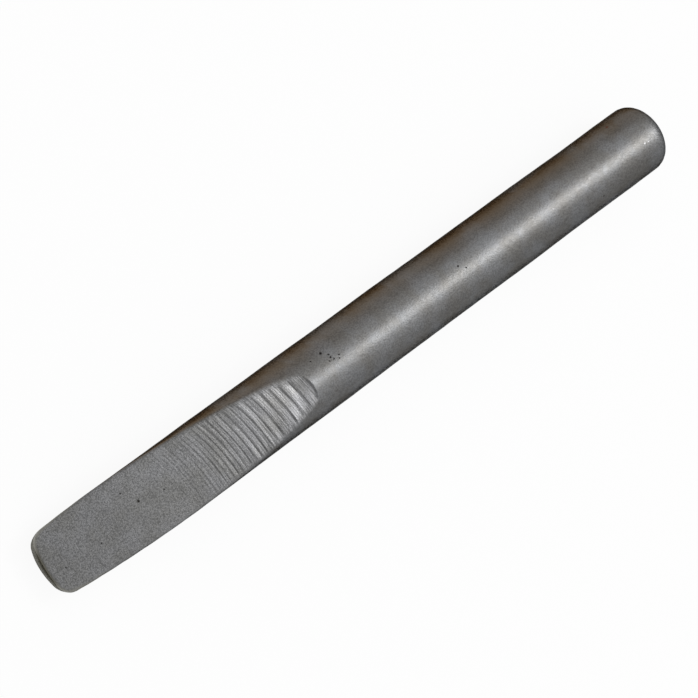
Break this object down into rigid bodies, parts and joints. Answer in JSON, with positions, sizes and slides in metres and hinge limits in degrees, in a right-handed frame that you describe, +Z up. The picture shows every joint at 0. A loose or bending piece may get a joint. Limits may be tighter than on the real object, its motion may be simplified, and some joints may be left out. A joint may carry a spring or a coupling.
{
  "type": "drift punch",
  "caption": "Solid round steel drift punch with a rounded struck head and, at the other end, an inclined flat that leaves a thin tongue with a bowed end.",
  "frame": {"origin": "middle of the bar's length, on the surface that the bar lies on with its flat up", "axes": "+X along the bar from the tip to the struck head, +Z up on the side of the flat"},
  "size_m": [0.18, 0.016, 0.0159],
  "materials": {
    "blasted_steel": "dark grey, shot-blasted, with arc-shaped cutter marks on the flat"
  },
  "bodies": {
    "root": {"drift_bar": "blasted_steel"}
  },
  "joints": []
}
